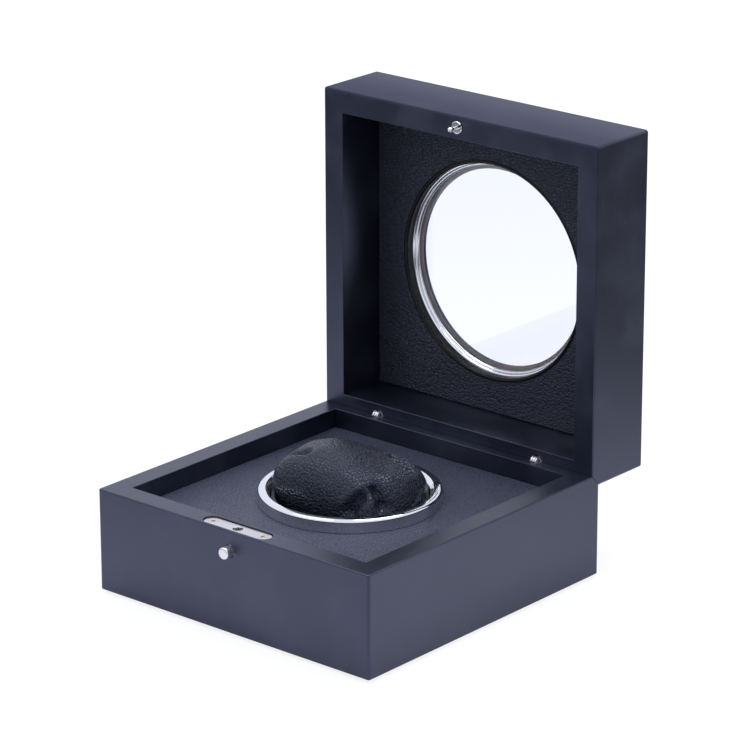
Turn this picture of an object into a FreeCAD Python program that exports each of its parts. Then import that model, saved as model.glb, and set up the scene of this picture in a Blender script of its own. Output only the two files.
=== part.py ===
import FreeCAD, Part
import math
import os

V = FreeCAD.Vector
AXIS_X = V(1, 0, 0)
AXIS_Y = V(0, 1, 0)
AXIS_Z = V(0, 0, 1)

# Box and lid, as seen from outside
case_width = 160.0
case_depth = 160.0
wall = 11.0
base_height = 48.5
lid_height = 36.8
felt_height = 1.5
corner_round = 1.3
edge_round = 0.7
rim_gap = 0.3

# Fits and clearances
glue_fit = 0.05
press_fit = 0.02
running_fit = 0.05
moving_clear = 0.3
cut_over = 2.0

# Bottom plate, corner posts, felt
bottom_board = 3.0
post_side = 14.0
felt_inset = 6.0
bottom_screw_radius = 1.4
bottom_screw_head_radius = 2.8
bottom_screw_head_height = 1.6
bottom_screw_length = 14.0

# Deck in the base
deck_drop = 9.0
deck_board = 4.0
leather = 1.0

# Polished ring
ring_radius = 41.8
ring_top_drop = 2.6
ring_flat_width = 3.9
ring_bore_radius = 36.2
ring_bevel_depth = 2.2
ring_edge_round = 0.6
ring_spigot_wall = 3.0

# Rotating cup
cup_radius = 35.4
cup_wall = 1.2
cup_top_drop = 6.0
cup_floor = 2.0
cup_hub_radius = 8.0
cup_hub_height = 3.0
cup_flange_width = 4.5
cup_flange = 1.5
pad_length = 9.0
pad_width = 24.0
pad_end_gap = 13.2

# Cushion
cushion_length = 69.0
cushion_width = 47.0
cushion_height = 42.0
cushion_strap_room = 5.4
cushion_shoulder_drop = 11.0
cushion_shoulder_share = 0.78
cushion_cup_gap = 1.2

# Spindle and its bearing
spindle_radius = 3.0
spindle_floor_gap = 0.6
groove_depth = 0.6
clip_thickness = 0.7
clip_radius = 5.0
clip_drop = 0.2
cup_screw_radius = 1.25
cup_screw_length = 8.0
cup_screw_head_radius = 2.75
cup_screw_head_height = 1.5
block_flange_radius = 14.0
block_flange = 2.5
block_radius = 8.0
block_height = 7.5
block_hollow_radius = 6.0
block_hollow_depth = 2.5
bush_wall = 1.8
bush_flange = 1.0
bush_flange_radius = 7.0
washer = 0.6
washer_gap = 0.1

# Gear drive
gear_module = 1.25
gear_teeth = 76
pinion_teeth = 20
pressure_angle = math.radians(20)
tooth_thinning = 0.12
tooth_root = 1.25
gear_width = 5.0
gear_deck_gap = 4.0
pinion_over = 0.5
motor_wall_gap = 26.5
motor_radius = 12.0
motor_pinion_gap = 0.5
motor_boss_radius = 4.0
motor_boss = 2.0
motor_shaft_radius = 1.5
motor_shaft_depth = 4.0
bracket_wall = 1.5
bracket_height = 8.0
bracket_foot = 2.0
bracket_ear_reach = 20.0
bracket_ear_width = 9.0
small_screw_radius = 1.0
small_screw_head_radius = 1.9
small_screw_head_height = 1.2
small_screw_bite = 2.4

# Control board
circuit_length = 40.0
circuit_width = 20.0
circuit_thickness = 1.6
circuit_post_gap = 1.0
circuit_back_gap = 3.0
pillar_radius = 2.5
pillar_height = 5.0
pillar_inset = 3.5
chip_length = 9.0
chip_width = 6.0
chip_height = 1.8
capacitor_radius = 3.0
capacitor_height = 8.0
plug_length = 7.0
plug_width = 4.5
plug_height = 5.0

# Rear socket plate, inlet, mode switch
plate_length = 46.0
plate_height = 18.0
plate_thickness = 1.6
plate_post_gap = 8.0
plate_center_z = 19.0
plate_lip = 5.0
inlet_offset = 9.0
inlet_radius = 4.0
inlet_bore_radius = 3.0
inlet_pin_radius = 1.0
inlet_depth = 9.0
inlet_body_side = 10.0
inlet_body_length = 12.0
switch_offset = -8.5
switch_length = 12.0
switch_height = 7.0
switch_depth = 6.0
switch_slot_height = 3.6
switch_travel = 2.0
switch_knob_length = 3.0
switch_knob_out = 1.6
switch_knob_in = 2.0

# Leads
lead_radius = 0.7
lead_pitch = 1.8
lead_bend_share = 0.45
lead_lane_gap = 10.5
lead_exit_run = 10.0
lead_swing = 16.0

# Lock in the front rim
strike_length = 38.0
strike_width = 8.0
strike_thickness = 1.2
strike_sink = 0.6
strike_margin = 0.3
strike_screw_spacing = 29.2
strike_screw_radius = 1.1
strike_screw_head_radius = 2.1
strike_screw_head_height = 1.0
strike_screw_length = 10.0
strike_hole_radius = 2.3
lock_length = 18.0
lock_depth = 7.6
lock_height = 13.0
lock_wall = 0.6
button_radius = 2.85
button_out = 4.5
button_drop = 9.4
button_edge = 0.8
button_stem_radius = 1.4
button_face_gap = 0.2
catch_plate = 1.0
catch_arm = 0.7
catch_width = 8.0
catch_reach = 0.45
catch_land = 0.7
spring_strip = 0.2
spring_span = 8.0
spring_height = 3.5

# Catch stud on the lid
stud_flange_radius = 3.0
stud_flange = 0.8
stud_neck_radius = 0.8
stud_ball_radius = 1.25
stud_ball_out = 5.0
stud_shank_radius = 1.2
stud_shank_length = 9.0

# Barrel hinges
hinge_spread = 95.0
barrel_radius = 3.0
barrel_length = 12.0
knuckle_radius = 2.2
knuckle_ear = 0.9
knuckle_tongue = 1.3
knuckle_gap = 0.1
knuckle_floor_gap = 0.4
hinge_pin_radius = 0.8

# Window in the lid
window_opening_radius = 51.0
window_lip_radius = 47.2
window_lip_bevel = 1.4
glass_overlap = 1.5
window_glass = 1.8
window_ring_depth = 2.6
window_ring_front_radius = 50.8
window_ring_back_radius = 49.0
top_board = 3.0
panel_board = 3.0

# Heights and places that follow from the sizes above
half_width = case_width / 2
half_depth = case_depth / 2
inner_x = half_width - wall
inner_y = half_depth - wall
rim_z = felt_height + base_height
lid_rim_z = rim_z + rim_gap
lid_top_z = lid_rim_z + lid_height
hinge_inset = wall / 2
hinge_y = half_depth - hinge_inset
lock_y = -half_depth + wall / 2
floor_z = felt_height + bottom_board
deck_z = rim_z - deck_drop
deck_board_z = deck_z - leather
deck_under_z = deck_board_z - deck_board
ring_spigot_radius = ring_bore_radius + ring_spigot_wall
block_top_z = floor_z + block_height
washer_z = block_top_z + bush_flange
hub_z = washer_z + washer + washer_gap
cup_under_z = hub_z + cup_hub_height
cup_floor_z = cup_under_z + cup_floor
cup_top_z = rim_z - cup_top_drop
cup_inner_radius = cup_radius - cup_wall
cushion_z = cup_floor_z + cushion_strap_room
gear_z = deck_under_z - gear_deck_gap - gear_width
pinion_z = gear_z - pinion_over
motor_reach = gear_module * (gear_teeth + pinion_teeth) / 2
motor_x = -inner_x + motor_wall_gap
motor_y = -math.sqrt(motor_reach ** 2 - motor_x ** 2)
motor_bearing = math.atan2(motor_y, motor_x)
motor_boss_z = pinion_z - motor_pinion_gap
motor_top_z = motor_boss_z - motor_boss
top_board_z = lid_top_z - top_board
glass_z = top_board_z - window_glass
packing_z = glass_z - window_ring_depth
panel_z = packing_z - panel_board
lid_leather_z = panel_z - leather
window_skirt_radius = window_opening_radius + leather
glass_radius = window_skirt_radius + glass_overlap
circuit_left = -inner_x + post_side + circuit_post_gap
circuit_z = floor_z + pillar_height
circuit_y = inner_y - circuit_back_gap - circuit_width
plate_center_x = inner_x - post_side - plate_post_gap - plate_length / 2
inlet_x = plate_center_x + inlet_offset
switch_x = plate_center_x + switch_offset


def block(low, high):
    size = high - low
    return Part.makeBox(size.x, size.y, size.z, low)


def rod(radius, start, axis, length):
    return Part.makeCylinder(radius, length, start, axis)


def tube(outer, inner, start, axis, length):
    return rod(outer, start, axis, length).cut(rod(inner, start, axis, length))


def slab(half_x, half_y, z, thickness):
    return block(V(-half_x, -half_y, z), V(half_x, half_y, z + thickness))


def turned(points):
    """A solid of revolution about Z from corner points (radius, height)."""
    corners = [V(r, 0, z) for r, z in points]
    face = Part.Face(Part.makePolygon(corners + corners[:1]))
    return face.revolve(V(0, 0, 0), AXIS_Z, 360)


def prism(points, direction):
    """A straight prism on a closed outline of 3-D corner points."""
    return Part.Face(Part.makePolygon(points + points[:1])).extrude(direction)


def both_ways(*values):
    return [sign * v for v in values for sign in (-1, 1)]


def countersunk_screw(radius, head_radius, head_height, length, top, axis):
    """A countersunk screw whose flat head lies at top; axis points to its tip."""
    head = Part.makeCone(head_radius, radius, head_height, top, axis)
    return head.fuse(rod(radius, top, axis, length)).removeSplitter()


def countersunk_hole(radius, head_radius, head_height, length, top, axis):
    fit = glue_fit
    return countersunk_screw(radius + fit, head_radius + fit, head_height, length, top, axis)


def pan_screw(radius, head_radius, head_height, length, seat, axis):
    """A screw whose head stands on seat; axis points to its tip."""
    head = rod(head_radius, seat - axis * head_height, axis, head_height)
    return head.fuse(rod(radius, seat, axis, length))


def opened(shape):
    """A lid piece, modelled closed, turned back on the hinge to the open pose."""
    turned_back = shape.copy()
    turned_back.rotate(V(0, hinge_y, rim_z), AXIS_X, -90)
    return turned_back


nodes = {}


def add(name, *solids):
    nodes[name] = solids[0] if len(solids) == 1 else Part.makeCompound(list(solids))


# Rounded outer blocks, from which the boards of the base and lid are cut
def rounded_block(z, height):
    shape = slab(half_width, half_depth, z, height)
    upright = [e for e in shape.Edges if abs(e.tangentAt(e.FirstParameter).z) > 0.5]
    shape = shape.makeFillet(corner_round, upright)
    level = [e for e in shape.Edges if e.BoundBox.ZLength < edge_round / 2]
    return shape.makeFillet(edge_round, level)


def mitred(frame, z, height):
    """The four boards of a frame, cut apart on the diagonals of its corners."""
    far_x = half_width + cut_over
    far_y = half_depth + cut_over
    near_x = inner_x - cut_over
    near_y = inner_y - cut_over
    outlines = {
        "front": [(-far_x, -far_y), (far_x, -far_y), (near_x, -near_y), (-near_x, -near_y)],
        "back": [(-far_x, far_y), (far_x, far_y), (near_x, near_y), (-near_x, near_y)],
        "left": [(-far_x, -far_y), (-far_x, far_y), (-near_x, near_y), (-near_x, -near_y)],
        "right": [(far_x, -far_y), (far_x, far_y), (near_x, near_y), (near_x, -near_y)],
    }
    boards = {}
    for side, outline in outlines.items():
        wedge = prism([V(x, y, z) for x, y in outline], AXIS_Z * height)
        boards[side] = frame.common(wedge)
    return boards


def rim_bevel(z, up):
    """The 45 degree cut along a back rim that lets the lid turn back and stop."""
    over = cut_over
    corners = [
        V(-half_width - over, hinge_y - over, z - up * over),
        V(-half_width - over, half_depth + over, z + up * (hinge_inset + over)),
        V(-half_width - over, half_depth + over, z - up * over),
    ]
    return prism(corners, AXIS_X * (case_width + 2 * over))


# Hinge halves: a round barrel, slotted for the knuckle, with ears or a tongue
hinge_places = both_ways(hinge_spread / 2)
knuckle_width = 2 * (knuckle_tongue / 2 + knuckle_gap + knuckle_ear)
slot_depth = knuckle_radius + knuckle_floor_gap


def knuckle_plate(x, width, rim, up):
    """A flat plate with a round end on the hinge axis, rooted in the slot's floor."""
    start = V(x - width / 2, hinge_y, rim_z)
    floor = rim + up * slot_depth
    low = min(rim_z, floor)
    high = max(rim_z, floor)
    root = block(
        V(x - width / 2, hinge_y - knuckle_radius, low),
        V(x + width / 2, hinge_y + knuckle_radius, high),
    )
    plate = rod(knuckle_radius, start, AXIS_X, width).fuse(root)
    bore = rod(hinge_pin_radius + running_fit, start, AXIS_X, width)
    return plate.cut(bore).removeSplitter()


def hinge_half(x, rim, up, plates):
    """One barrel in a rim; up is the way from the rim into its board."""
    body = rod(barrel_radius, V(x, hinge_y, rim), AXIS_Z * up, barrel_length)
    slot_low = min(rim, rim + up * slot_depth)
    slot = block(
        V(x - knuckle_width / 2 - knuckle_gap, hinge_y - barrel_radius, slot_low),
        V(x + knuckle_width / 2 + knuckle_gap, hinge_y + barrel_radius, slot_low + slot_depth),
    )
    body = body.cut(slot).cut(rim_bevel(rim, up))
    for offset, width in plates:
        body = body.fuse(knuckle_plate(x + offset, width, rim, up))
    return body.removeSplitter()


ear_offset = knuckle_tongue / 2 + knuckle_gap + knuckle_ear / 2
ears = [(-ear_offset, knuckle_ear), (ear_offset, knuckle_ear)]
tongue = [(0, knuckle_tongue)]
add("base_hinge_barrels", *[hinge_half(x, rim_z, -1, ears) for x in hinge_places])
add("lid_hinge_barrels", *[opened(hinge_half(x, lid_rim_z, 1, tongue)) for x in hinge_places])
add("hinge_pins", *[
    rod(hinge_pin_radius, V(x - knuckle_width / 2, hinge_y, rim_z), AXIS_X, knuckle_width)
    for x in hinge_places
])


def barrel_hole(x, rim, up):
    start = V(x, hinge_y, rim - up * cut_over)
    return rod(barrel_radius + glue_fit, start, AXIS_Z * up, barrel_length + cut_over)


# Lock plate, its screws and the cuts in the front rim
strike_z = rim_z - strike_sink - strike_thickness
strike_screws = both_ways(strike_screw_spacing / 2)


def oblong(length, width, z, thickness):
    """A flat bar with full round ends, centred on the front rim."""
    reach = (length - width) / 2
    middle = block(
        V(-reach, lock_y - width / 2, z), V(reach, lock_y + width / 2, z + thickness)
    )
    ends = [rod(width / 2, V(x, lock_y, z), AXIS_Z, thickness) for x in both_ways(reach)]
    return middle.fuse(ends).removeSplitter()


strike_top_z = strike_z + strike_thickness
strike = oblong(strike_length, strike_width, strike_z, strike_thickness)
strike = strike.cut(rod(strike_hole_radius, V(0, lock_y, strike_z), AXIS_Z, strike_thickness))
front_cuts = []
screws = []
for x in strike_screws:
    top = V(x, lock_y, strike_top_z)
    shape = (strike_screw_radius, strike_screw_head_radius, strike_screw_head_height)
    hole = countersunk_hole(*shape, strike_screw_length, top, -AXIS_Z)
    strike = strike.cut(hole)
    front_cuts.append(hole)
    screws.append(countersunk_screw(*shape, strike_screw_length, top, -AXIS_Z))
add("lock_plate", strike)
add("lock_plate_screws", *screws)
front_cuts.append(oblong(
    strike_length + 2 * strike_margin, strike_width + 2 * strike_margin,
    strike_z, strike_thickness + strike_sink + cut_over,
))

# Lock case: an open-topped box in a slot under the plate
case_low = V(-lock_length / 2, lock_y - lock_depth / 2, strike_z - lock_height)
case_high = V(lock_length / 2, lock_y + lock_depth / 2, strike_z)
hollow_low = case_low + V(lock_wall, lock_wall, lock_wall)
hollow_high = V(case_high.x - lock_wall, case_high.y - lock_wall, strike_z)
button_z = rim_z - button_drop
stem_hole = rod(
    button_stem_radius + running_fit, V(0, case_low.y, button_z), AXIS_Y, lock_wall
)
add("lock_case", block(case_low, case_high).cut(block(hollow_low, hollow_high)).cut(stem_hole))
slot_fit = V(glue_fit, glue_fit, glue_fit)
front_cuts.append(block(case_low - slot_fit, case_high + slot_fit))
front_cuts.append(rod(
    button_radius + moving_clear, V(0, -half_depth - cut_over, button_z), AXIS_Y,
    case_low.y + half_depth + cut_over,
))

# Push button with its stem, the catch that it carries and the leaf spring
catch_back_y = lock_y + stud_neck_radius + moving_clear + catch_land
button_back_y = -half_depth - button_face_gap
button_front_y = -half_depth - button_out
cap = rod(button_radius, V(0, button_front_y, button_z), AXIS_Y, button_back_y - button_front_y)
front_edge = [e for e in cap.Edges if e.BoundBox.YMax < button_front_y + button_edge / 2]
cap = cap.makeFillet(button_edge, front_edge)
stem = rod(
    button_stem_radius, V(0, button_back_y, button_z), AXIS_Y,
    catch_back_y - catch_arm - button_back_y,
)
add("push_button", cap.fuse(stem).removeSplitter())
catch_top_z = strike_z - moving_clear
catch_low_z = catch_top_z - catch_plate
catch_tip_y = lock_y - catch_reach
finger_plate = block(
    V(-catch_width / 2, catch_tip_y, catch_low_z), V(catch_width / 2, catch_back_y, catch_top_z)
)
notch_half = (stud_neck_radius + stud_ball_radius) / 2
notch_back_y = catch_back_y - catch_land
notch = block(
    V(-notch_half, catch_tip_y, catch_low_z), V(notch_half, notch_back_y, catch_top_z)
)
arm = block(
    V(-catch_width / 2, catch_back_y - catch_arm, button_z - button_stem_radius),
    V(catch_width / 2, catch_back_y, catch_low_z),
)
ball_way = stud_ball_radius + moving_clear
ball_low_z = lid_rim_z - stud_ball_out - ball_way
arm_window = block(
    V(-ball_way, catch_back_y - catch_arm, ball_low_z), V(ball_way, catch_back_y, catch_low_z)
)
catch = finger_plate.cut(notch).fuse(arm.cut(arm_window))
add("catch_slider", catch.removeSplitter())
spring_room = hollow_high.y - catch_back_y
spring_low_z = button_z - spring_height / 2


def bowed_edge(offset):
    ends_y = hollow_high.y - spring_strip + offset
    return Part.Arc(
        V(-spring_span / 2, ends_y, spring_low_z),
        V(0, ends_y - spring_room + spring_strip, spring_low_z),
        V(spring_span / 2, ends_y, spring_low_z),
    ).toShape()


inside = bowed_edge(0)
outside = bowed_edge(spring_strip)
joins = [
    Part.makeLine(inside.Vertexes[i].Point, outside.Vertexes[i].Point) for i in (0, 1)
]
strip = Part.Face(Part.Wire(Part.__sortEdges__([inside, outside] + joins)))
add("button_spring", strip.extrude(AXIS_Z * spring_height))

# Rear socket plate, inlet and mode switch
back_y = half_depth
plate_y = back_y - plate_thickness
plate_low = V(plate_center_x - plate_length / 2, plate_y, plate_center_z - plate_height / 2)
plate_high = V(plate_center_x + plate_length / 2, back_y, plate_center_z + plate_height / 2)
plate = block(plate_low, plate_high)
plate_screws = [plate_center_x + d for d in both_ways(plate_length / 2 - plate_lip / 2)]
inlet_face = V(inlet_x, plate_y, plate_center_z)
plate = plate.cut(rod(inlet_radius + glue_fit, inlet_face, AXIS_Y, plate_thickness))
slot_half = switch_travel + switch_knob_length / 2 + moving_clear
plate = plate.cut(block(
    V(switch_x - slot_half, plate_y, plate_center_z - switch_slot_height / 2),
    V(switch_x + slot_half, back_y, plate_center_z + switch_slot_height / 2),
))
rear_fit = V(glue_fit, 0, glue_fit)
rear_cuts = [block(plate_low - rear_fit, plate_high + rear_fit + AXIS_Y * cut_over)]
rear_cuts.append(block(
    V(plate_low.x + plate_lip, inner_y - cut_over, plate_low.z + plate_lip / 2),
    V(plate_high.x - plate_lip, back_y, plate_high.z - plate_lip / 2),
))
rear_screws = []
for x in plate_screws:
    top = V(x, back_y, plate_center_z)
    shape = (small_screw_radius, small_screw_head_radius, small_screw_head_height)
    hole = countersunk_hole(*shape, wall / 2, top, -AXIS_Y)
    plate = plate.cut(hole)
    rear_cuts.append(hole)
    rear_screws.append(countersunk_screw(*shape, wall / 2, top, -AXIS_Y))
add("rear_socket_plate", plate)
add("rear_plate_screws", *rear_screws)
inlet_body_low = V(
    inlet_x - inlet_body_side / 2, plate_y - inlet_body_length, plate_center_z - inlet_body_side / 2
)
inlet_body_high = V(inlet_x + inlet_body_side / 2, plate_y, plate_center_z + inlet_body_side / 2)
inlet = block(inlet_body_low, inlet_body_high).fuse(
    rod(inlet_radius, inlet_face, AXIS_Y, plate_thickness)
)
inlet_mouth = V(inlet_x, back_y, plate_center_z)
inlet = inlet.cut(rod(inlet_bore_radius, inlet_mouth, -AXIS_Y, inlet_depth))
add("supply_inlet", inlet.removeSplitter())
add("inlet_pin", rod(
    inlet_pin_radius, inlet_mouth - AXIS_Y * inlet_depth, AXIS_Y, inlet_depth - plate_thickness
))
switch_low = V(
    switch_x - switch_length / 2, plate_y - switch_depth, plate_center_z - switch_height / 2
)
switch_high = V(switch_x + switch_length / 2, plate_y, plate_center_z + switch_height / 2)
track_half_height = switch_slot_height / 2
switch_track = block(
    V(switch_x - slot_half, plate_y - switch_knob_in, plate_center_z - track_half_height),
    V(switch_x + slot_half, plate_y, plate_center_z + track_half_height),
)
add("mode_switch", block(switch_low, switch_high).cut(switch_track))
knob_half_height = track_half_height - moving_clear
add("mode_slider", block(
    V(
        switch_x - switch_knob_length / 2, plate_y - switch_knob_in + moving_clear,
        plate_center_z - knob_half_height,
    ),
    V(
        switch_x + switch_knob_length / 2, back_y + switch_knob_out,
        plate_center_z + knob_half_height,
    ),
))

# Base boards
base = rounded_block(felt_height, base_height)
base = base.cut(slab(inner_x, inner_y, felt_height - cut_over, base_height + 2 * cut_over))
base = base.cut(rim_bevel(rim_z, -1))
base_cuts = front_cuts + rear_cuts + [barrel_hole(x, rim_z, -1) for x in hinge_places]
for side, board in mitred(base, felt_height, base_height).items():
    add("base_%s_board" % side, board.cut(Part.makeCompound(base_cuts)))

# Bottom plate, corner posts, screws and the felt under them
post_x = inner_x - glue_fit - post_side / 2
post_y = inner_y - glue_fit - post_side / 2
post_places = [(x, y) for x in both_ways(post_x) for y in both_ways(post_y)]
bottom = slab(inner_x - glue_fit, inner_y - glue_fit, felt_height, bottom_board)
posts = []
screws = []
for x, y in post_places:
    head = V(x, y, felt_height)
    shape = (bottom_screw_radius, bottom_screw_head_radius, bottom_screw_head_height)
    hole = countersunk_hole(*shape, bottom_screw_length, head, AXIS_Z)
    corner = V(x - post_side / 2, y - post_side / 2, floor_z)
    post = block(corner, corner + V(post_side, post_side, deck_under_z - floor_z))
    bottom = bottom.cut(hole)
    posts.append(post.cut(hole))
    screws.append(countersunk_screw(*shape, bottom_screw_length, head, AXIS_Z))
add("corner_posts", *posts)
add("bottom_screws", *screws)
felt = slab(half_width - felt_inset, half_depth - felt_inset, 0, felt_height)
upright = [e for e in felt.Edges if abs(e.tangentAt(e.FirstParameter).z) > 0.5]
add("base_felt", felt.makeFillet(corner_round, upright))

# Deck board, its leather and the polished ring
deck_hole = rod(
    ring_spigot_radius + glue_fit, V(0, 0, deck_under_z), AXIS_Z, deck_board + leather
)
deck_x = inner_x - glue_fit
deck_y = inner_y - glue_fit
add("deck_board", slab(deck_x, deck_y, deck_under_z, deck_board).cut(deck_hole))
add("deck_leather", slab(deck_x, deck_y, deck_board_z, leather).cut(deck_hole))
ring_top_z = rim_z - ring_top_drop
ring = turned([
    (ring_bore_radius, deck_under_z),
    (ring_spigot_radius, deck_under_z),
    (ring_spigot_radius, deck_z),
    (ring_radius, deck_z),
    (ring_radius, ring_top_z),
    (ring_radius - ring_flat_width, ring_top_z),
    (ring_bore_radius, ring_top_z - ring_bevel_depth),
])
outer_edge = [
    e for e in ring.Edges
    if e.BoundBox.ZMin > ring_top_z - ring_edge_round and e.BoundBox.XMax > ring_radius - ring_edge_round
]
add("chrome_ring", ring.makeFillet(ring_edge_round, outer_edge))

# Rotating cup, its pads, spindle, screw and clip
cup_screw_clear = cup_screw_radius + glue_fit
cup = turned([
    (cup_screw_clear, cup_under_z),
    (spindle_radius + press_fit, cup_under_z),
    (spindle_radius + press_fit, hub_z),
    (cup_hub_radius, hub_z),
    (cup_hub_radius, cup_under_z),
    (cup_radius, cup_under_z),
    (cup_radius, gear_z - cup_flange),
    (cup_radius + cup_flange_width, gear_z - cup_flange),
    (cup_radius + cup_flange_width, gear_z),
    (cup_radius, gear_z),
    (cup_radius, cup_top_z),
    (cup_inner_radius, cup_top_z),
    (cup_inner_radius, cup_floor_z),
    (cup_screw_clear, cup_floor_z),
])
cup_screw = (cup_screw_radius, cup_screw_head_radius, cup_screw_head_height, cup_screw_length)
cup_screw_top = V(0, 0, cup_floor_z)
add("rotating_cup", cup.cut(countersunk_hole(*cup_screw, cup_screw_top, -AXIS_Z)))
pad_far = cup_inner_radius - pad_end_gap
pad_top_z = cushion_z - moving_clear
add("cup_pads", *[
    block(
        V(min(near, near + way * pad_length), -pad_width / 2, cup_floor_z),
        V(max(near, near + way * pad_length), pad_width / 2, pad_top_z),
    ).common(rod(cup_inner_radius - glue_fit, V(0, 0, cup_floor_z), AXIS_Z, pad_top_z))
    for near, way in ((-pad_far, 1), (pad_far, -1))
])
spindle_low_z = floor_z + spindle_floor_gap
bush_low_z = floor_z + block_hollow_depth
clip_z = bush_low_z - clip_drop - clip_thickness
spindle = rod(spindle_radius, V(0, 0, spindle_low_z), AXIS_Z, cup_under_z - spindle_low_z)
groove_radius = spindle_radius - groove_depth
spindle = spindle.cut(
    tube(spindle_radius + cut_over, groove_radius, V(0, 0, clip_z), AXIS_Z, clip_thickness)
)
cup_screw_grip = cup_screw_length - cup_floor
spindle = spindle.cut(
    rod(cup_screw_clear, V(0, 0, cup_under_z - cup_screw_grip), AXIS_Z, cup_screw_grip)
)
add("spindle", spindle)
add("spindle_clip", tube(
    clip_radius, groove_radius + press_fit, V(0, 0, clip_z), AXIS_Z, clip_thickness
))
add("cup_screw", countersunk_screw(*cup_screw, cup_screw_top, -AXIS_Z))
bush_radius = spindle_radius + running_fit + bush_wall
add("bearing_block", turned([
    (block_hollow_radius, floor_z),
    (block_flange_radius, floor_z),
    (block_flange_radius, floor_z + block_flange),
    (block_radius, floor_z + block_flange),
    (block_radius, block_top_z),
    (bush_radius + press_fit, block_top_z),
    (bush_radius + press_fit, bush_low_z),
    (block_hollow_radius, bush_low_z),
]))
add("spindle_bush", turned([
    (spindle_radius + running_fit, bush_low_z),
    (bush_radius, bush_low_z),
    (bush_radius, block_top_z),
    (bush_flange_radius, block_top_z),
    (bush_flange_radius, washer_z),
    (spindle_radius + running_fit, washer_z),
]))
add("thrust_washer", tube(
    bush_flange_radius, spindle_radius + running_fit, V(0, 0, washer_z), AXIS_Z, washer
))

# Bearing block screws share the bottom plate with the motor's
block_screw_reach = (block_radius + block_flange_radius) / 2
drive_screws = []
drive_holes = []
for x in both_ways(block_screw_reach):
    seat = V(x, 0, floor_z + block_flange)
    shape = (small_screw_radius, small_screw_head_radius, small_screw_head_height)
    drive_screws.append(pan_screw(*shape, block_flange + small_screw_bite, seat, -AXIS_Z))
    drive_holes.append(rod(
        small_screw_radius + glue_fit, seat, -AXIS_Z, block_flange + small_screw_bite
    ))
nodes["bearing_block"] = nodes["bearing_block"].cut(Part.makeCompound(drive_holes))


# Spur gears
def polar(radius, angle):
    return V(radius * math.cos(angle), radius * math.sin(angle), 0)


def spur_gear(teeth, width, first_tooth):
    """A spur gear on the Z axis with a tooth centred on the angle first_tooth."""
    pitch = gear_module * teeth / 2
    base_circle = pitch * math.cos(pressure_angle)
    root = pitch - tooth_root * gear_module
    tip = pitch + gear_module
    start = max(base_circle, root)
    middle = (start + tip) / 2
    involute = math.tan(pressure_angle) - pressure_angle

    def half_angle(radius):
        turn = math.acos(base_circle / radius)
        thin = tooth_thinning / (2 * pitch)
        return math.pi / (2 * teeth) - thin + involute - (math.tan(turn) - turn)

    edges = []
    step = 2 * math.pi / teeth
    for i in range(teeth):
        at = first_tooth + i * step
        right = [polar(r, at - half_angle(r)) for r in (start, middle, tip)]
        left = [polar(r, at + half_angle(r)) for r in (tip, middle, start)]
        foot_right = polar(root, at - half_angle(start))
        foot_left = polar(root, at + half_angle(start))
        next_right = polar(root, at + step - half_angle(start))
        if start > root:
            edges.append(Part.makeLine(foot_right, right[0]))
        edges.append(Part.Arc(*right).toShape())
        edges.append(Part.Arc(right[2], polar(tip, at), left[0]).toShape())
        edges.append(Part.Arc(*left).toShape())
        if start > root:
            edges.append(Part.makeLine(left[2], foot_left))
        edges.append(Part.Arc(foot_left, polar(root, at + step / 2), next_right).toShape())
    return Part.Face(Part.Wire(edges)).extrude(AXIS_Z * width)


gear = spur_gear(gear_teeth, gear_width, motor_bearing)
gear = gear.cut(rod(cup_radius + glue_fit, V(0, 0, 0), AXIS_Z, gear_width))
gear.translate(V(0, 0, gear_z))
add("drive_gear", gear)
pinion_width = gear_width + 2 * pinion_over
pinion = spur_gear(pinion_teeth, pinion_width, motor_bearing + math.pi + math.pi / pinion_teeth)
pinion = pinion.cut(rod(motor_shaft_radius + press_fit, V(0, 0, 0), AXIS_Z, pinion_width))
pinion.translate(V(motor_x, motor_y, pinion_z))
add("motor_pinion", pinion)

# Gear motor, its shaft, bracket and screws
motor_foot = V(motor_x, motor_y, floor_z)
shaft_low_z = motor_top_z - motor_shaft_depth
shaft_start = V(motor_x, motor_y, shaft_low_z)
motor = rod(motor_radius, motor_foot, AXIS_Z, motor_top_z - floor_z)
motor = motor.fuse(rod(motor_boss_radius, V(motor_x, motor_y, motor_top_z), AXIS_Z, motor_boss))
motor = motor.cut(
    rod(motor_shaft_radius + running_fit, shaft_start, AXIS_Z, motor_boss_z - shaft_low_z)
)
add("gear_motor", motor)
add("motor_shaft", rod(
    motor_shaft_radius, shaft_start, AXIS_Z, pinion_z + pinion_width - shaft_low_z
))
bracket = rod(motor_radius + bracket_wall, motor_foot, AXIS_Z, bracket_height)
bracket = bracket.fuse(block(
    V(motor_x - bracket_ear_reach, motor_y - bracket_ear_width / 2, floor_z),
    V(motor_x + bracket_ear_reach, motor_y + bracket_ear_width / 2, floor_z + bracket_foot),
))
bracket = bracket.cut(rod(motor_radius + glue_fit, motor_foot, AXIS_Z, bracket_height))
ear_screw_reach = (motor_radius + bracket_wall + bracket_ear_reach) / 2
bracket_holes = []
for x in both_ways(ear_screw_reach):
    seat = V(motor_x + x, motor_y, floor_z + bracket_foot)
    shape = (small_screw_radius, small_screw_head_radius, small_screw_head_height)
    drive_screws.append(pan_screw(*shape, bracket_foot + small_screw_bite, seat, -AXIS_Z))
    bracket_holes.append(rod(
        small_screw_radius + glue_fit, seat, -AXIS_Z, bracket_foot + small_screw_bite
    ))
add("motor_bracket", bracket.cut(Part.makeCompound(bracket_holes)).removeSplitter())
add("drive_screws", *drive_screws)
add("bottom_plate", bottom.cut(Part.makeCompound(drive_holes + bracket_holes)))

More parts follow.
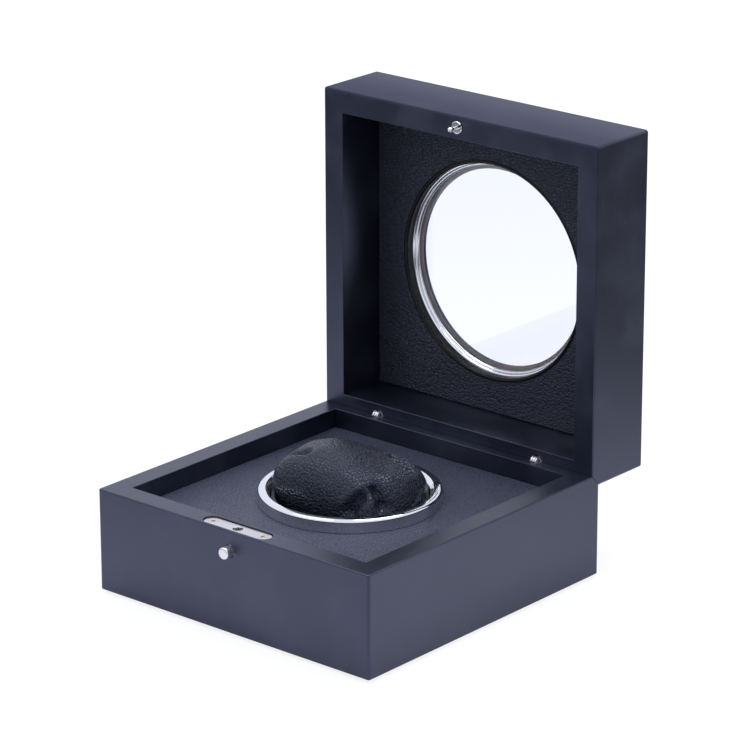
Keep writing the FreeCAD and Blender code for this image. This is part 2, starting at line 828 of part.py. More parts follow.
# Control board on its pillars
circuit_low = V(circuit_left, circuit_y, circuit_z)
circuit_high = circuit_low + V(circuit_length, circuit_width, circuit_thickness)
circuit_top_z = circuit_high.z
add("control_board", block(circuit_low, circuit_high))
pillar_places = [
    (x, y)
    for x in (circuit_low.x + pillar_inset, circuit_high.x - pillar_inset)
    for y in (circuit_low.y + pillar_inset, circuit_high.y - pillar_inset)
]
add("board_pillars", *[
    rod(pillar_radius, V(x, y, floor_z), AXIS_Z, pillar_height) for x, y in pillar_places
])
circuit_mid_y = circuit_y + circuit_width / 2
circuit_mid_x = circuit_left + circuit_length / 2
chip_low = V(circuit_mid_x - chip_length / 2, circuit_mid_y - chip_width / 2, circuit_top_z)
motor_plug_low = V(circuit_low.x, circuit_low.y, circuit_top_z)
motor_plug_size = V(plug_length, plug_width, plug_height)
power_plug_low = V(circuit_high.x - plug_width, circuit_mid_y - plug_length / 2, circuit_top_z)
power_plug_size = V(plug_width, plug_length, plug_height)
capacitor_x = circuit_mid_x + chip_length / 2 + 2 * capacitor_radius
add(
    "board_parts",
    block(chip_low, chip_low + V(chip_length, chip_width, chip_height)),
    rod(capacitor_radius, V(capacitor_x, circuit_mid_y, circuit_top_z), AXIS_Z, capacitor_height),
    block(motor_plug_low, motor_plug_low + motor_plug_size),
    block(power_plug_low, power_plug_low + power_plug_size),
)


# Leads: straight runs joined by arcs as large as the runs allow
def rounded_path(points):
    edges = []
    here = points[0]
    for before, corner, after in zip(points, points[1:], points[2:]):
        back = before - corner
        ahead = after - corner
        half_turn = (math.pi - back.getAngle(ahead)) / 2
        cut = lead_bend_share * min(back.Length, ahead.Length)
        back.normalize()
        ahead.normalize()
        inward = back + ahead
        inward.normalize()
        radius = cut / math.tan(half_turn)
        center = corner + inward * (radius / math.cos(half_turn))
        start = corner + back * cut
        end = corner + ahead * cut
        edges.append(Part.makeLine(here, start))
        edges.append(Part.Arc(start, center - inward * radius, end).toShape())
        here = end
    edges.append(Part.makeLine(here, points[-1]))
    return Part.Wire(edges)


def lead(points):
    path = rounded_path(points)
    aim = points[1] - points[0]
    ring_wire = Part.Wire(Part.makeCircle(lead_radius, points[0], aim))
    return path.makePipeShell([ring_wire], True, False)


plug_mid_z = circuit_top_z + plug_height / 2
plug_mid_x = motor_plug_low.x + plug_length / 2
lane_x = -inner_x + lead_lane_gap
exit_y = circuit_y - lead_exit_run
motor_side_x = motor_x - motor_radius
motor_lead_z = motor_top_z - motor_shaft_depth
leads = []
for shift in both_ways(lead_pitch / 2):
    leads.append(lead([
        V(plug_mid_x + shift, circuit_y, plug_mid_z),
        V(plug_mid_x + shift, exit_y, plug_mid_z),
        V(lane_x + shift, exit_y - lead_swing, plug_mid_z),
        V(lane_x + shift, motor_y + lead_swing, plug_mid_z),
        V(lane_x + shift, motor_y + shift, motor_lead_z),
        V(motor_side_x, motor_y + shift, motor_lead_z),
    ]))
add("motor_leads", *leads)
inlet_back_y = inlet_body_low.y
leads = []
for shift in both_ways(lead_pitch / 2):
    leads.append(lead([
        V(circuit_high.x, circuit_mid_y + shift, plug_mid_z),
        V((circuit_high.x + inlet_x) / 2, circuit_mid_y + shift, plug_mid_z),
        V(inlet_x + shift, circuit_mid_y + shift, plate_center_z),
        V(inlet_x + shift, inlet_back_y, plate_center_z),
    ]))
add("power_leads", *leads)

# Lid boards, top board and window
lid = rounded_block(lid_rim_z, lid_height)
lid_frame_height = lid_height - top_board
lid_frame = lid.cut(slab(inner_x, inner_y, lid_rim_z - cut_over, lid_frame_height + cut_over))
lid_frame = lid_frame.cut(slab(half_width, half_depth, top_board_z, top_board))
lid_frame = lid_frame.cut(rim_bevel(lid_rim_z, 1))
stud_root = V(0, lock_y, lid_rim_z)
lid_cuts = [barrel_hole(x, lid_rim_z, 1) for x in hinge_places]
lid_cuts.append(rod(stud_shank_radius + glue_fit, stud_root, AXIS_Z, stud_shank_length))
for side, board in mitred(lid_frame, lid_rim_z, lid_frame_height).items():
    add("lid_%s_board" % side, opened(board.cut(Part.makeCompound(lid_cuts))))
lid_top = lid.common(slab(half_width, half_depth, top_board_z, top_board))
lid_top = lid_top.cut(turned([
    (0, top_board_z),
    (window_lip_radius, top_board_z),
    (window_lip_radius, lid_top_z - window_lip_bevel),
    (window_lip_radius + window_lip_bevel, lid_top_z),
    (0, lid_top_z),
]))
add("lid_top_board", opened(lid_top))
bed_depth = window_glass + window_ring_depth
glass_bed = rod(glass_radius + glue_fit, V(0, 0, packing_z), AXIS_Z, bed_depth)
lid_x = inner_x - glue_fit
lid_y = inner_y - glue_fit
add("glass_packing_board", opened(slab(lid_x, lid_y, packing_z, bed_depth).cut(glass_bed)))
add("window_glass", opened(rod(glass_radius, V(0, 0, glass_z), AXIS_Z, window_glass)))
add("window_ring", opened(turned([
    (glass_radius, packing_z),
    (window_ring_front_radius, packing_z),
    (window_ring_back_radius, glass_z),
    (glass_radius, glass_z),
])))

# Lid panel: leather over a board, turned down inside the window's opening
panel_hole = rod(window_skirt_radius + glue_fit, V(0, 0, panel_z), AXIS_Z, panel_board)
add("lid_panel_board", opened(slab(lid_x, lid_y, panel_z, panel_board).cut(panel_hole)))
skirt = rod(window_skirt_radius, V(0, 0, panel_z), AXIS_Z, panel_board)
lid_cover = slab(lid_x, lid_y, lid_leather_z, leather).fuse(skirt)
opening_depth = leather + panel_board
opening = rod(window_opening_radius, V(0, 0, lid_leather_z), AXIS_Z, opening_depth)
add("lid_leather", opened(lid_cover.cut(opening).removeSplitter()))

# Catch stud: shank in the rim, round flange, neck and ball
stud = rod(stud_shank_radius, stud_root, AXIS_Z, stud_shank_length)
flange = rod(stud_flange_radius, stud_root, -AXIS_Z, stud_flange)
flange_edge = [e for e in flange.Edges if e.BoundBox.ZMax < lid_rim_z - stud_flange / 2]
stud = stud.fuse(flange.makeFillet(stud_flange / 2, flange_edge))
stud = stud.fuse(rod(stud_neck_radius, stud_root, -AXIS_Z, stud_ball_out))
stud = stud.fuse(Part.makeSphere(stud_ball_radius, stud_root - AXIS_Z * stud_ball_out))
add("catch_stud", opened(stud.removeSplitter()))


# Cushion: plump sections along its length, squeezed by the round cup and wider over its rim
def cushion_section(x, half, top, low):
    fullness = 2 * half / cushion_width
    shoulder_z = top - cushion_shoulder_drop * fullness
    shoulder_y = half * cushion_shoulder_share
    flat = pad_width / 2 * fullness
    side_z = (low + shoulder_z) / 2
    corners = [
        V(x, -flat, low), V(x, flat, low),
        V(x, shoulder_y, shoulder_z), V(x, -shoulder_y, shoulder_z),
    ]
    edges = [
        Part.makeLine(corners[0], corners[1]),
        Part.Arc(corners[1], V(x, half, side_z), corners[2]).toShape(),
        Part.Arc(corners[2], V(x, 0, top), corners[3]).toShape(),
        Part.Arc(corners[3], V(x, -half, side_z), corners[0]).toShape(),
    ]
    return Part.Wire(edges)


# Shares of the half length, of the width, and of the height at the crown and the underside
cushion_stations = [
    (1.0, 0.34, 0.74, 0.46),
    (0.96, 0.56, 0.82, 0.34),
    (0.89, 0.80, 0.89, 0.18),
    (0.77, 1.0, 0.95, 0.06),
    (0.60, 1.03, 0.985, 0.01),
    (0.40, 1.02, 1.0, 0.0),
    (0.18, 1.0, 1.0, 0.0),
]
left_half = [(-along, wide, top, low) for along, wide, top, low in cushion_stations]
cushion_wires = [
    cushion_section(
        cushion_length / 2 * along, cushion_width / 2 * wide,
        cushion_z + cushion_height * top, cushion_z + cushion_height * low,
    )
    for along, wide, top, low in left_half + cushion_stations[::-1]
]
cup_room_radius = cup_inner_radius - cushion_cup_gap
room = rod(cup_room_radius, V(0, 0, cushion_z), AXIS_Z, cushion_height)
add("cushion", Part.makeLoft(cushion_wires, True).common(room))

os.makedirs("parts", exist_ok=True)
for name, shape in nodes.items():
    shape.exportStep("parts/%s.step" % name)
    solids = len(shape.Solids)
    print("%-22s %2d solid(s) %10.1f mm3 valid=%s" % (name, solids, shape.Volume, shape.isValid()))
print(len(nodes), "nodes")
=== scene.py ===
import math

import bmesh
import bpy
from mathutils import Matrix, Vector


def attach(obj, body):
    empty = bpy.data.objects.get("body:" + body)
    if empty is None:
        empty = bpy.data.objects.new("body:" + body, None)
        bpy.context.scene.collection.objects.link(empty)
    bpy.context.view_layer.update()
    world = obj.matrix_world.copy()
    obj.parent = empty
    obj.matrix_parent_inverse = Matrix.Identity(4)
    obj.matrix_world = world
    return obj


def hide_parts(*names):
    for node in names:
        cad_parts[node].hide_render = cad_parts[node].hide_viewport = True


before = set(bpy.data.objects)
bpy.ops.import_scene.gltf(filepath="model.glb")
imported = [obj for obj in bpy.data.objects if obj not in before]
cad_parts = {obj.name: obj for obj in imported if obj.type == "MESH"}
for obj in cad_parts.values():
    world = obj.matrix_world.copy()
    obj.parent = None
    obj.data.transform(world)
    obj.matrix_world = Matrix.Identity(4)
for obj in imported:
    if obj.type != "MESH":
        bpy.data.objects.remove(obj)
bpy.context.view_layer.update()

# Base of the case: four boards of dense fibre board, mitred and glued at the corners.
# Matt black lacquer is sprayed over the joints, so the four read as one frame, which is
# let in at the front for the lock and at the back for the hinges and the socket plate.
case_half = 0.080
case_wall = 0.011
base_foot = 0.0015
base_rim = 0.050
corner_round = 0.0013
edge_round = 0.0007
inner_round = 0.0003
overrun = 0.002
inner_half = case_half - case_wall
hinge_x = 0.0475
hinge_y = case_half - case_wall / 2
hinge_hole = 0.00305
hinge_hole_depth = 0.012
lock_y = -case_half + case_wall / 2
plate_long = 0.038
plate_wide = 0.008
plate_gap = 0.0003
strike_floor = base_rim - 0.0018
lock_pocket = Vector((0.00905, 0.00385, 0.01305))
button_z = base_rim - 0.0094
button_hole = 0.00315
button_hole_depth = 0.0035
socket_x = 0.024
socket_z = 0.019


def set_down():
    """Leaves edit mode and lets go of everything that is selected."""
    if bpy.context.object and bpy.context.object.mode == "EDIT":
        bpy.ops.object.mode_set(mode="OBJECT")
    bpy.ops.object.select_all(action="DESELECT")


def pick_up(piece):
    set_down()
    piece.select_set(True)
    bpy.context.view_layer.objects.active = piece


def new_block(name, low, high):
    """A block between two corners, left open in edit mode for shaping."""
    set_down()
    bpy.ops.mesh.primitive_cube_add(size=1, location=[(a + b) / 2 for a, b in zip(low, high)])
    piece = bpy.context.object
    piece.name = name
    piece.scale = [b - a for a, b in zip(low, high)]
    bpy.ops.object.transform_apply(location=True, rotation=True, scale=True)
    bpy.ops.object.mode_set(mode="EDIT")
    return piece


def new_rod(name, radius, start, axis, length, steps=48):
    """A round bar from a start point along an axis, left in object mode."""
    set_down()
    axis = Vector(axis)
    bpy.ops.mesh.primitive_cylinder_add(
        vertices=steps, radius=radius, depth=length, location=Vector(start) + axis * length / 2,
        rotation=axis.to_track_quat("Z", "Y").to_euler(),
    )
    piece = bpy.context.object
    piece.name = name
    bpy.ops.object.transform_apply(location=True, rotation=True, scale=True)
    return piece


def choose(kind, test):
    """In edit mode, selects the faces or edges that pass a test and nothing else."""
    bpy.ops.mesh.select_mode(type={"faces": "FACE", "edges": "EDGE"}[kind])
    bpy.ops.mesh.select_all(action="DESELECT")
    mesh = bmesh.from_edit_mesh(bpy.context.object.data)
    for part in getattr(mesh, kind):
        if test(part):
            part.select_set(True)
    bmesh.update_edit_mesh(bpy.context.object.data)


def edge_at(edge):
    return (edge.verts[0].co + edge.verts[1].co) / 2


def run_of(edge):
    return (edge.verts[1].co - edge.verts[0].co).normalized()


def is_square(edge):
    return edge.is_manifold and edge.calc_face_angle() > math.radians(60)


def round_edges(width, steps, test):
    choose("edges", test)
    bpy.ops.mesh.bevel(offset=width, segments=steps, affect="EDGES", clamp_overlap=False)


def apply_modifier(piece, kind, **settings):
    pick_up(piece)
    modifier = piece.modifiers.new(kind.lower(), kind)
    for name, value in settings.items():
        setattr(modifier, name, value)
    bpy.ops.object.modifier_apply(modifier=modifier.name)


def cut_away(piece, cutter):
    apply_modifier(piece, "BOOLEAN", object=cutter, operation="DIFFERENCE", solver="EXACT")
    bpy.data.objects.remove(cutter)


def smooth(piece, angle=40):
    """Shades the rounds smooth and keeps the flats flat."""
    pick_up(piece)
    bpy.ops.object.shade_smooth_by_angle(angle=math.radians(angle))
    apply_modifier(piece, "WEIGHTED_NORMAL", keep_sharp=True, weight=100)


def outside(point):
    return max(abs(point.x), abs(point.y)) > case_half - case_wall / 4


def round_case(rim, up):
    """Rounds half of the case outside, eases its inner rim and bevels it behind the hinges."""
    round_edges(corner_round, 6, lambda e: abs(run_of(e).z) > 0.9 and outside(edge_at(e)))
    round_edges(edge_round, 5, lambda e: abs(run_of(e).z) < 0.1 and is_square(e) and outside(edge_at(e)))
    round_edges(inner_round, 2, lambda e: (
        abs(run_of(e).z) < 0.1 and is_square(e) and abs(edge_at(e).z - rim) < 0.0005
        and not outside(edge_at(e))
    ))
    bpy.ops.mesh.select_all(action="SELECT")
    bpy.ops.mesh.bisect(plane_co=(0, hinge_y, rim), plane_no=(0, 1, up), use_fill=True, clear_outer=True)
    bpy.ops.object.mode_set(mode="OBJECT")


base_case = new_block("base_case", (-case_half, -case_half, base_foot), (case_half, case_half, base_rim))
choose("faces", lambda f: abs(f.normal.z) > 0.9)
bpy.ops.mesh.inset(thickness=case_wall, depth=0)
bpy.ops.mesh.bridge_edge_loops()
round_case(base_rim, 1)


def oblong_block(name, length, width, low, high):
    """A bar with full round ends on the front rim, left in object mode."""
    piece = new_block(name, (-length / 2, lock_y - width / 2, low), (length / 2, lock_y + width / 2, high))
    round_edges(width / 2 - 0.00002, 12, lambda e: abs(run_of(e).z) > 0.9)
    bpy.ops.object.mode_set(mode="OBJECT")
    return piece


cut_away(base_case, oblong_block(
    "cut", plate_long + 2 * plate_gap, plate_wide + 2 * plate_gap, strike_floor, base_rim + overrun,
))
cut_away(base_case, new_block(
    "cut", (-lock_pocket.x, lock_y - lock_pocket.y, strike_floor - lock_pocket.z),
    (lock_pocket.x, lock_y + lock_pocket.y, base_rim),
))
cut_away(base_case, new_rod(
    "cut", button_hole, (0, -case_half - overrun, button_z), (0, 1, 0), button_hole_depth + overrun,
))
for x in (-hinge_x, hinge_x):
    cut_away(base_case, new_rod(
        "cut", hinge_hole, (x, hinge_y, base_rim - hinge_hole_depth), (0, 0, 1), hinge_hole_depth + overrun,
    ))
for half_x, half_z, low_y, high_y in (
    (0.02305, 0.00905, case_half - 0.0016, case_half + overrun),
    (0.018, 0.0065, inner_half - overrun, case_half),
):
    cut_away(base_case, new_block(
        "cut", (socket_x - half_x, low_y, socket_z - half_z), (socket_x + half_x, high_y, socket_z + half_z),
    ))
smooth(base_case)


class Reading:
    """One value out of a shader node; sums on it add Math nodes to the same finish."""

    def __init__(self, finish, socket):
        self.finish = finish
        self.socket = socket

    def math(self, operation, first, second):
        return self.finish.node("ShaderNodeMath", {"operation": operation}, {0: first, 1: second})

    def __add__(self, other):
        return self.math("ADD", self, other)

    def __radd__(self, other):
        return self.math("ADD", other, self)

    def __rsub__(self, other):
        return self.math("SUBTRACT", other, self)

    def __mul__(self, other):
        return self.math("MULTIPLY", self, other)

    def __rmul__(self, other):
        return self.math("MULTIPLY", other, self)

    def most(self, other):
        return self.math("MAXIMUM", self, other)


class Finish:
    """A procedural material: one surface shader and the nodes that feed it."""

    def __init__(self, name, constants):
        self.material = bpy.data.materials.new(name)
        self.material.use_nodes = True
        self.tree = self.material.node_tree
        self.tree.nodes.clear()
        self.shader = self.tree.nodes.new("ShaderNodeBsdfPrincipled")
        for socket, value in constants.items():
            self.shader.inputs[socket].default_value = value
        self.end = self.tree.nodes.new("ShaderNodeOutputMaterial")
        self.tree.links.new(self.shader.outputs[0], self.end.inputs["Surface"])
        self.place = self.node("ShaderNodeTexCoord", {}, {}, "Object")

    def node(self, kind, settings, sockets, output=0):
        made = self.tree.nodes.new(kind)
        for name, value in settings.items():
            setattr(made, name, value)
        for name, value in sockets.items():
            self.join(value, made.inputs[name])
        return Reading(self, made.outputs[output])

    def join(self, value, socket):
        if isinstance(value, Reading):
            self.tree.links.new(value.socket, socket)
        else:
            socket.default_value = value

    def feed(self, socket, value):
        self.join(value, self.shader.inputs[socket])

    def clouds(self, scale, detail, place=None):
        return self.node("ShaderNodeTexNoise", {}, {
            "Vector": place or self.place, "Scale": scale, "Detail": detail,
        })

    def stretched(self, scale):
        return self.node("ShaderNodeMapping", {}, {"Vector": self.place, "Scale": scale})

    def along(self, axis):
        return self.node("ShaderNodeSeparateXYZ", {}, {0: self.place}, axis)

    def blend(self, share, first, second):
        return self.node("ShaderNodeMix", {"data_type": "RGBA"}, {0: share, 6: first, 7: second}, 2)

    def ramp(self, value, low, high):
        return self.node("ShaderNodeMapRange", {"interpolation_type": "SMOOTHSTEP"}, {
            "Value": value, "From Min": low, "From Max": high,
        })

    def bump(self, height, depth, strength=1.0):
        self.feed("Normal", self.node("ShaderNodeBump", {}, {
            "Strength": strength, "Distance": depth, "Height": height,
        }))


def wear(piece, finish, slot, body, *nodes):
    """Gives a finished piece its material, its body and the nodes it stands for. Its slot argument is not
    used.
    """
    piece.data.materials.clear()
    piece.data.materials.append(finish.material)
    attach(piece, body)
    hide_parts(*nodes)


def dress(finish, *nodes):
    """Gives pieces that keep their modelled shape a finish of their own."""
    for name in nodes:
        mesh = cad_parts[name].data
        mesh.materials.clear()
        mesh.materials.append(finish.material)


lacquer = Finish("matt_black_lacquer", {
    "Specular Tint": (0.60, 0.645, 1.0, 1.0), "IOR": 1.72,
})
handled = lacquer.ramp(lacquer.clouds(34.0, 5.0), 0.42, 0.72)
specks = lacquer.ramp(lacquer.clouds(330.0, 1.0), 0.79, 0.82)
lifted_edge = lacquer.ramp(lacquer.along(2), 0.2030, 0.2042)
finger_side = 1 - lacquer.ramp(lacquer.along(1), 0.078, 0.112)
scuff_place = lacquer.stretched((260.0, 260.0, 55.0))
scuffs = lacquer.ramp(lacquer.clouds(1.0, 2.0, scuff_place), 0.735, 0.80)
lacquer.feed("Base Color", lacquer.blend(
    handled * 0.4 + scuffs * 0.3 + specks * 0.6, (0.0030, 0.0036, 0.0072, 1.0), (0.0290, 0.0308, 0.0425, 1.0),
))
lacquer.feed("Roughness", 0.33 + handled * 0.09 + scuffs * 0.14 + lifted_edge * (0.18 + finger_side * 0.30))
lacquer.bump(lacquer.clouds(1500.0, 2.0), 0.00002, 0.35)
wear(
    base_case, lacquer, "lacquer", "base",
    "base_front_board", "base_back_board", "base_left_board", "base_right_board",
)

# Bottom of the case: a thin fibre board screwed up into four softwood corner posts.
# A sheet of pressed black felt is glued underneath, and the box stands on it.
raw_board = Finish("raw_fibre_board", {"Roughness": 0.85})
fibres = raw_board.clouds(900.0, 4.0)
raw_board.feed("Base Color", raw_board.blend(fibres, (0.20, 0.135, 0.080, 1.0), (0.34, 0.245, 0.155, 1.0)))
raw_board.bump(fibres, 0.0001, 0.5)
dress(lacquer, "bottom_plate")
dress(raw_board, "corner_posts", "deck_board", "glass_packing_board", "lid_panel_board")
felt = Finish("black_felt", {"Roughness": 0.95, "Sheen Weight": 0.35, "Sheen Roughness": 0.5})
nap = felt.clouds(1800.0, 6.0)
felt.feed("Base Color", felt.blend(nap, (0.012, 0.012, 0.014, 1.0), (0.034, 0.034, 0.038, 1.0)))
felt.bump(nap, 0.0003, 0.7)
dress(felt, "base_felt", "cup_pads")
steel = Finish("bright_steel", {"Metallic": 1.0})
steel_marks = steel.clouds(700.0, 3.0)
steel.feed("Base Color", steel.blend(steel_marks, (0.46, 0.46, 0.47, 1.0), (0.62, 0.62, 0.63, 1.0)))
steel.feed("Roughness", 0.24 + steel_marks * 0.16)
dress(
    steel, "bottom_screws", "rear_plate_screws", "drive_screws", "cup_screw", "spindle", "spindle_clip",
    "lock_case", "catch_slider", "button_spring", "motor_shaft", "motor_bracket", "inlet_pin", "hinge_pins",
)

# Works under the deck: a gear motor in a clamp drives a large gear on the cup through a
# pinion. The cup turns on a spindle in a bronze bush, and a small board runs the motor.
gear_plastic = Finish("white_gear_plastic", {"Roughness": 0.45, "Subsurface Weight": 0.1})
flow = gear_plastic.clouds(160.0, 2.0)
gear_plastic.feed("Base Color", gear_plastic.blend(flow, (0.70, 0.69, 0.64, 1.0), (0.80, 0.79, 0.75, 1.0)))
dress(gear_plastic, "drive_gear", "motor_pinion", "thrust_washer")
motor_can = Finish("zinc_motor_can", {"Metallic": 1.0})
grain = motor_can.clouds(1.0, 3.0, motor_can.stretched((400.0, 400.0, 4000.0)))
motor_can.feed("Base Color", motor_can.blend(grain, (0.40, 0.40, 0.42, 1.0), (0.55, 0.55, 0.57, 1.0)))
motor_can.feed("Roughness", 0.30 + grain * 0.2)
dress(motor_can, "gear_motor")
bronze = Finish("bush_bronze", {"Metallic": 1.0})
pores = bronze.clouds(2500.0, 2.0)
bronze.feed("Base Color", bronze.blend(pores, (0.42, 0.25, 0.11, 1.0), (0.60, 0.38, 0.18, 1.0)))
bronze.feed("Roughness", 0.35 + pores * 0.2)
dress(bronze, "spindle_bush")
moulded = Finish("moulded_black_plastic", {"IOR": 1.49})
spark = moulded.clouds(3000.0, 2.0)
moulded.feed("Base Color", moulded.blend(spark, (0.012, 0.012, 0.013, 1.0), (0.022, 0.022, 0.024, 1.0)))
moulded.feed("Roughness", 0.42 + spark * 0.15)
moulded.bump(spark, 0.00004, 0.4)
dress(moulded, "bearing_block", "board_pillars", "board_parts", "supply_inlet", "mode_switch", "mode_slider")
circuit = Finish("green_circuit_board", {"Roughness": 0.35, "Coat Weight": 0.3})
tracks = circuit.ramp(circuit.clouds(1.0, 0.0, circuit.stretched((420.0, 900.0, 1.0))), 0.50, 0.53)
circuit.feed("Base Color", circuit.blend(tracks, (0.006, 0.075, 0.030, 1.0), (0.018, 0.150, 0.060, 1.0)))
dress(circuit, "control_board")
lead_cover = Finish("red_lead_cover", {"Roughness": 0.5})
dull = lead_cover.clouds(600.0, 2.0)
lead_cover.feed("Base Color", lead_cover.blend(dull, (0.26, 0.010, 0.010, 1.0), (0.36, 0.020, 0.018, 1.0)))
dress(lead_cover, "motor_leads", "power_leads")

# Deck cover: fine-grained black leather stretched over a thin board and glued behind it.
# The board drops in on the corner posts, so the leather's edge rolls down at the walls.
deck_top = 0.041
cover_half = 0.06895
leather_thick = 0.001
rolled_round = 0.0008
ring_seat = 0.03925
deck_cover = new_block(
    "deck_cover", (-cover_half, -cover_half, deck_top - leather_thick), (cover_half, cover_half, deck_top),
)
round_edges(rolled_round, 5, lambda e: edge_at(e).z > deck_top - 0.0002 and abs(run_of(e).z) < 0.1)
cut_away(deck_cover, new_rod(
    "cut", ring_seat, (0, 0, deck_top - leather_thick - overrun), (0, 0, 1), leather_thick + 2 * overrun, 128,
))
smooth(deck_cover)


def leather(name, pebble, depth, dark, light, gloss, index, stretch=(1.0, 1.0, 1.0)):
    """Dyed leather: pebbles with fine creases between them, over soft rolling unevenness. Its colour is a
    painted shade, darker in the creases, with soft patches of uneven tone.
    """
    hide = Finish(name, {"IOR": index, "Specular Tint": (0.72, 0.77, 1.0, 1.0)})
    bend = hide.node("ShaderNodeVectorMath", {"operation": "SCALE"}, {
        0: hide.node("ShaderNodeTexNoise", {}, {
            "Vector": hide.place, "Scale": 0.6 / pebble, "Detail": 2.0}, "Color"),
        "Scale": pebble * 0.35,
    })
    wandering = hide.node("ShaderNodeVectorMath", {"operation": "ADD"}, {0: hide.place, 1: bend})
    scaled = hide.node("ShaderNodeMapping", {}, {"Vector": wandering, "Scale": stretch})
    cells = hide.node("ShaderNodeTexVoronoi", {"feature": "DISTANCE_TO_EDGE"}, {
        "Vector": scaled, "Scale": 1.0 / pebble, "Randomness": 0.9})
    domes = hide.node("ShaderNodeTexVoronoi", {"feature": "F1"}, {
        "Vector": scaled, "Scale": 1.0 / pebble, "Randomness": 0.9}, "Distance")
    crown = hide.ramp(cells, 0.0, 0.16)
    patches = hide.clouds(55.0, 3.0)
    height = (1 - domes * domes) * 0.7 + crown * 0.3 + patches * 0.2
    # Painted shade: the colour darkens in the creases between the pebbles; the soft patches are uneven tone.
    hide.feed("Base Color", hide.blend(crown * 0.7 + patches * 0.3, dark, light))
    hide.feed("Roughness", gloss + (1 - crown) * 0.25 + patches * 0.06)
    hide.bump(height, depth)
    return hide


deck_leather = leather(
    "fine_deck_leather", 0.00115, 0.00040, (0.0170, 0.0188, 0.0300, 1.0), (0.042, 0.0455, 0.071, 1.0),
    0.27, 1.52,
)
wear(deck_cover, deck_leather, "panel_leather", "base", "deck_leather")

# Polished ring round the cup: turned from brass bar and chromium plated.
# It presses into the deck board's hole; its rounded top falls to the bore on a wide bevel.
def arc(middle, radius, start, end, steps):
    """Points of a round stretch of a profile, between two angles in degrees."""
    angles = [math.radians(start + (end - start) * step / steps) for step in range(steps + 1)]
    return [(middle[0] + radius * math.cos(a), middle[1] + radius * math.sin(a)) for a in angles]


ring_profile = [
    (0.0392, 0.0362), (0.0392, 0.0410), (0.04165, 0.0410), (0.0418, 0.04115),
    *arc((0.0403, 0.0459), 0.0015, 0, 90, 7),
    *arc((0.0385, 0.0464), 0.0010, 90, 142, 4),
    *arc((0.0372, 0.0447), 0.0010, 142, 180, 3),
    (0.0362, 0.0362),
]


def turn(name, profile, steps, closed=True):
    """A turned piece on the Z axis: a circle drawn out along the profile's radii and heights."""
    set_down()
    radius, height = profile[0]
    bpy.ops.mesh.primitive_circle_add(vertices=steps, radius=radius, location=(0, 0, height))
    piece = bpy.context.object
    piece.name = name
    bpy.ops.object.transform_apply(location=True, rotation=True, scale=True)
    bpy.ops.object.mode_set(mode="EDIT")
    bpy.ops.mesh.select_mode(type="EDGE")
    bpy.ops.mesh.select_all(action="SELECT")
    for (r0, z0), (r1, z1) in zip(profile, profile[1:]):
        bpy.ops.mesh.extrude_edges_move(TRANSFORM_OT_translate={"value": (0, 0, z1 - z0)})
        bpy.ops.transform.resize(value=(r1 / r0, r1 / r0, 1), center_override=(0, 0, z1))
    choose("edges", lambda e: e.is_boundary)
    if closed:
        bpy.ops.mesh.bridge_edge_loops()
    else:
        bpy.ops.mesh.fill_holes(sides=0)
    bpy.ops.mesh.select_all(action="SELECT")
    bpy.ops.mesh.normals_make_consistent(inside=False)
    bpy.ops.object.mode_set(mode="OBJECT")
    return piece


ring = turn("polished_ring", ring_profile, 160)
smooth(ring, 25)
chrome = Finish("polished_chrome", {"Metallic": 1.0})
haze = chrome.clouds(260.0, 4.0)
chrome.feed("Base Color", chrome.blend(haze, (0.74, 0.75, 0.77, 1.0), (0.80, 0.81, 0.83, 1.0)))
chrome.feed("Roughness", 0.035 + chrome.ramp(haze, 0.45, 0.75) * 0.06)
wear(ring, chrome, "chrome", "base", "chrome_ring")

# Rotating cup: a deep black moulded cup that holds the cushion and carries the gear.
# Its inside is sprayed with short black flock, so the cushion's cover isn't rubbed.
flock = Finish("flocked_cup", {"Roughness": 0.9, "Sheen Weight": 0.2, "Sheen Roughness": 0.4})
fuzz = flock.clouds(2600.0, 3.0)
flock.feed("Base Color", flock.blend(fuzz, (0.008, 0.008, 0.010, 1.0), (0.020, 0.020, 0.024, 1.0)))
flock.bump(fuzz, 0.0002, 0.6)
dress(flock, "rotating_cup")

# Cushion: a foam pad in a soft black leather cover, squeezed into the cup.
# The cover is blown up as cloth between its seams, then pressed back by the cup and ring.
pad_half = Vector((0.0343, 0.0234, 0.0209))
pad_middle = Vector((0, 0, 0.045))
plan_power = 4.2
side_power = 2.5
waist_depth = 0.05
waist_reach = 0.35
seam_out = 0.0235
seam_reach = 0.0009
blow_frames = 20
blow_limit = 0.0016
cup_rim = 0.0432
rim_rise = 0.0022
cup_room = 0.0326
ring_room = 0.0351
cushion = new_block("cushion_pad", pad_middle - pad_half, pad_middle + pad_half)
bpy.ops.mesh.select_all(action="SELECT")
bpy.ops.mesh.subdivide(number_cuts=46, smoothness=0)
bpy.ops.object.mode_set(mode="OBJECT")


def in_cup(point):
    """Holds a point of the cover inside the cup's wall and, above it, inside the ring."""
    share = min(max((point.z - cup_rim) / rim_rise, 0), 1)
    room = cup_room + (ring_room - cup_room) * share * share * (3 - 2 * share)
    reach = point.xy.length
    if reach > room:
        point = Vector((point.x * room / reach, point.y * room / reach, point.z))
    return point


